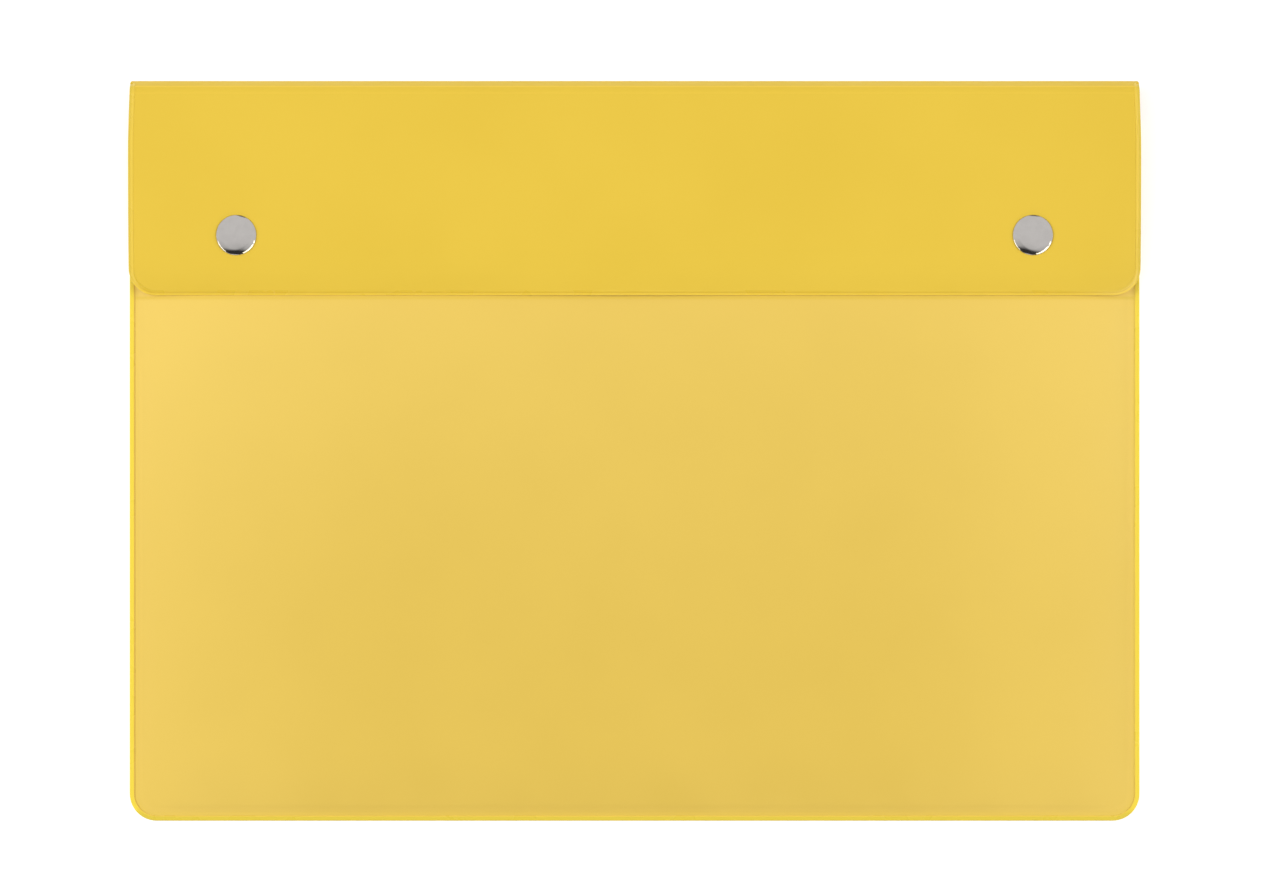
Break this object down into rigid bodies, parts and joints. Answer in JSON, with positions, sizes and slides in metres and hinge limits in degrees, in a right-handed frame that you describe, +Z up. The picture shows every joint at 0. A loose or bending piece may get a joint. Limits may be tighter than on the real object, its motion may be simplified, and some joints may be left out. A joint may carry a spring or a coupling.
{
  "type": "document wallet",
  "caption": "Flat press-stud document wallet for A4 sheets: a welded plastic pocket with a frosted front, and an opaque flap that folds over it and snaps shut.",
  "frame": {"origin": "middle of the bounding box, on the table under the back sheet", "axes": "+X across the wallet, +Y towards the fold, +Z up out of the front face; closed, lying flat"},
  "size_m": [0.318, 0.233, 0.0097],
  "materials": {
    "cover_sheet": "opaque yellow PVC sheet, satin, fine grain",
    "flap_lining": "yellow PVC film, matt",
    "front_sheet": "frosted pale yellow PVC film",
    "welded_rim": "melted and pressed PVC rim, glossy",
    "cap_metal": "bright nickel plate",
    "snap_metal": "dull nickel plate",
    "spring_wire": "drawn bronze wire"
  },
  "bodies": {
    "pocket": {"back_panel": "cover_sheet", "front_panel": "front_sheet", "edge_weld": "welded_rim", "stud_left": "snap_metal", "stud_right": "snap_metal", "stud_eyelet_left": "snap_metal", "stud_eyelet_right": "snap_metal"},
    "fold_low": {"fold_strip_1": "cover_sheet"},
    "fold_high": {"fold_strip_2": "cover_sheet"},
    "flap": {"flap_panel": "cover_sheet", "flap_lining": "flap_lining", "flap_edge_weld": "welded_rim", "cap_left": "cap_metal", "cap_right": "cap_metal", "cap_rivet_left": "snap_metal", "cap_rivet_right": "snap_metal", "socket_left": "snap_metal", "socket_right": "snap_metal", "socket_spring_left": "spring_wire", "socket_spring_right": "spring_wire"}
  },
  "joints": [
    {"name": "fold_hinge_low", "type": "hinge", "parent": "pocket", "child": "fold_low", "pos_m": [0, 0.11409, 0], "axis": [-1, 0, 0], "range_deg": [0, 59.3]},
    {"name": "fold_hinge_high", "type": "hinge", "parent": "fold_low", "child": "fold_high", "pos_m": [0, 0.1165, 0.00417], "axis": [-1, 0, 0], "range_deg": [0, 59.3]},
    {"name": "flap_hinge", "type": "hinge", "parent": "fold_high", "child": "flap", "pos_m": [0, 0.11409, 0.00835], "axis": [-1, 0, 0], "range_deg": [0, 59.3], "deforming": ["socket_spring_left", "socket_spring_right"]}
  ],
  "couplings": [
    {"joint": "fold_hinge_low", "follows": "flap_hinge", "ratio": 1},
    {"joint": "fold_hinge_high", "follows": "flap_hinge", "ratio": 1}
  ]
}
